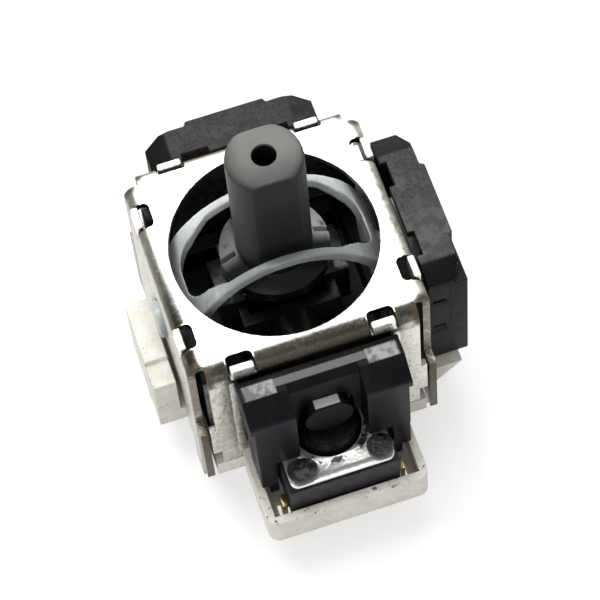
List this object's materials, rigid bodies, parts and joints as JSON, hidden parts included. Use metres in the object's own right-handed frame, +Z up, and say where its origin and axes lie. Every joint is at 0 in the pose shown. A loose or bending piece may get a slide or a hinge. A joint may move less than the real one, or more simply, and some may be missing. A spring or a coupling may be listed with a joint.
{
  "type": "analog stick module",
  "caption": "Two-axis analog stick module: shaft with flats in a folded metal can, rotary sensor on two sides, push switch in a front tray.",
  "frame": {"origin": "on the stick's axis, on the underside of the moulded base, which seats on the circuit board", "axes": "+Z up along the stick, +X towards the right-hand sensor, +Y towards the rear sensor, -Y towards the push switch"},
  "size_m": [0.0169, 0.0202, 0.0221],
  "materials": {
    "tin_plate": "bright tin plate, darker and brownish along the folds",
    "cream_plastic": "cream moulding, speckled with brown along its edges",
    "charcoal_plastic": "charcoal, finely mottled",
    "dark_plastic": "near-black, smooth, with bright reflections on its facets",
    "stick_plastic": "dark grey moulding, satin",
    "milky_plastic": "translucent white, smooth",
    "steel": "bright",
    "brass": "dull",
    "resin_board": "brown laminate with a printed track"
  },
  "bodies": {
    "housing": {"shield_can": "tin_plate", "base_tray": "cream_plastic", "inner_frame": "dark_plastic", "switch_bracket": "dark_plastic", "switch_body": "charcoal_plastic", "switch_cover": "steel", "switch_dome": "steel", "switch_pin_1": "brass", "switch_pin_2": "brass", "switch_pin_3": "brass", "switch_pin_4": "brass", "return_spring": "steel", "x_sensor_housing": "charcoal_plastic", "x_sensor_element": "resin_board", "x_sensor_terminal_1": "steel", "x_sensor_terminal_2": "steel", "x_sensor_terminal_3": "steel", "y_sensor_housing": "charcoal_plastic", "y_sensor_element": "resin_board", "y_sensor_terminal_1": "steel", "y_sensor_terminal_2": "steel", "y_sensor_terminal_3": "steel"},
    "rear_rotor": {"y_sensor_rotor": "milky_plastic", "y_sensor_wiper": "steel"},
    "rocker": {"lower_rocker": "dark_plastic", "rocker_pin": "steel"},
    "stick": {"stick": "stick_plastic"},
    "arch": {"upper_arch": "milky_plastic", "x_sensor_rotor": "milky_plastic", "x_sensor_wiper": "steel"},
    "button": {"switch_button": "dark_plastic"},
    "plunger": {"spring_plunger": "milky_plastic"}
  },
  "joints": [
    {"name": "tilt_sideways", "type": "hinge", "parent": "housing", "child": "rear_rotor", "pos_m": [0, 0, 0.0068], "axis": [0, 1, 0], "range_deg": [-20, 20], "stiffness_Nm_per_rad": 0.02},
    {"name": "press", "type": "hinge", "parent": "rear_rotor", "child": "rocker", "pos_m": [0, 0.0063, 0.0068], "axis": [1, 0, 0], "range_deg": [0, 1.2], "stiffness_Nm_per_rad": 0.5},
    {"name": "tilt_fore_aft", "type": "hinge", "parent": "rocker", "child": "stick", "pos_m": [0, 0, 0.0068], "axis": [1, 0, 0], "range_deg": [-20, 20], "stiffness_Nm_per_rad": 0.02},
    {"name": "arch_turn", "type": "hinge", "parent": "housing", "child": "arch", "pos_m": [0, 0, 0.0068], "axis": [1, 0, 0], "range_deg": [-20, 20]},
    {"name": "button_travel", "type": "slide", "parent": "housing", "child": "button", "axis": [0, 0, -1], "range_m": [0, 0.0003], "deforming": ["switch_dome"]},
    {"name": "plunger_travel", "type": "slide", "parent": "housing", "child": "plunger", "axis": [0, 0, -1], "range_m": [0, 0.00014], "deforming": ["return_spring"]}
  ],
  "couplings": [
    {"joint": "arch_turn", "follows": "tilt_fore_aft", "ratio": 1},
    {"joint": "button_travel", "follows": "press", "m_per_rad": 0.0139},
    {"joint": "plunger_travel", "follows": "press", "m_per_rad": 0.0063}
  ]
}
